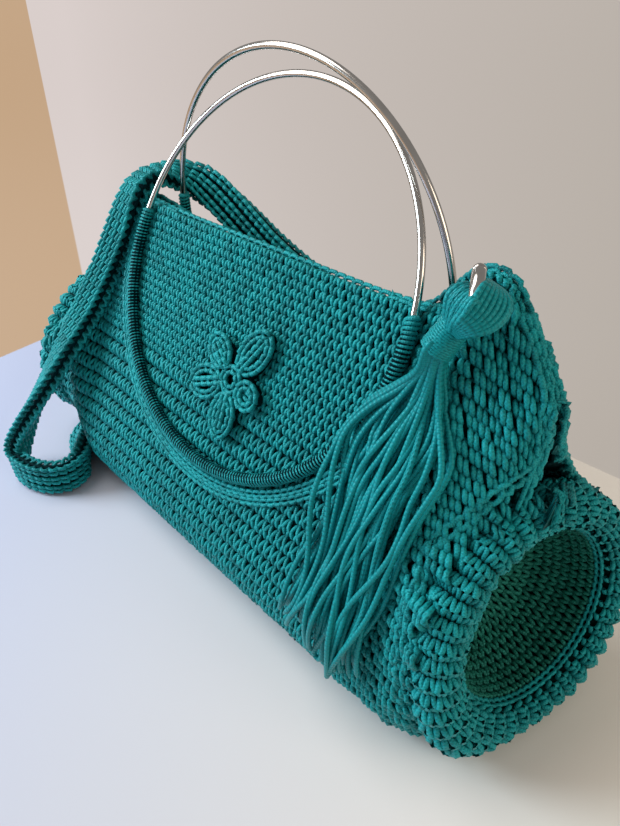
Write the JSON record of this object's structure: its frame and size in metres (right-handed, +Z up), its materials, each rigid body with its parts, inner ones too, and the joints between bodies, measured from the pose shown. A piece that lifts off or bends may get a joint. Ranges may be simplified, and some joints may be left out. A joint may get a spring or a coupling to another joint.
{
  "type": "handbag",
  "caption": "Crocheted barrel handbag with round steel ring handles, dished ends, a flat braided shoulder strap and a long cord tassel on a sprung ring clip.",
  "frame": {"origin": "on the floor under the middle of the bag, in its flat bottom", "axes": "+X to the bag's right end, -Y to its front, +Z up"},
  "size_m": [0.4031, 0.1751, 0.2624],
  "materials": {
    "body_cord": "crocheted satin cord",
    "end_cord": "crocheted satin cord",
    "sleeve_cord": "close satin cord wraps",
    "motif_cord": "crocheted satin cord",
    "strap_cord": "braided satin cord",
    "tassel_cord": "loose satin cord",
    "ring_steel": "polished",
    "clip_steel": "polished"
  },
  "bodies": {
    "bag": {"body_front": "body_cord", "body_back": "body_cord", "end_right": "end_cord", "end_left": "end_cord", "ring_front": "ring_steel", "ring_back": "ring_steel", "sleeve_front": "sleeve_cord", "sleeve_back": "sleeve_cord", "motif": "motif_cord", "strap": "strap_cord", "corner_loop": "body_cord", "clip_hook": "clip_steel", "tassel": "tassel_cord"},
    "gate": {"clip_gate": "clip_steel"}
  },
  "joints": [
    {"name": "gate_hinge", "type": "hinge", "parent": "bag", "child": "gate", "pos_m": [0.13041, -0.01129, 0.2061], "axis": [0.866, 0.5, 0], "range_deg": [0, 25], "stiffness_Nm_per_rad": 0.004, "springref_deg": -11.46}
  ]
}
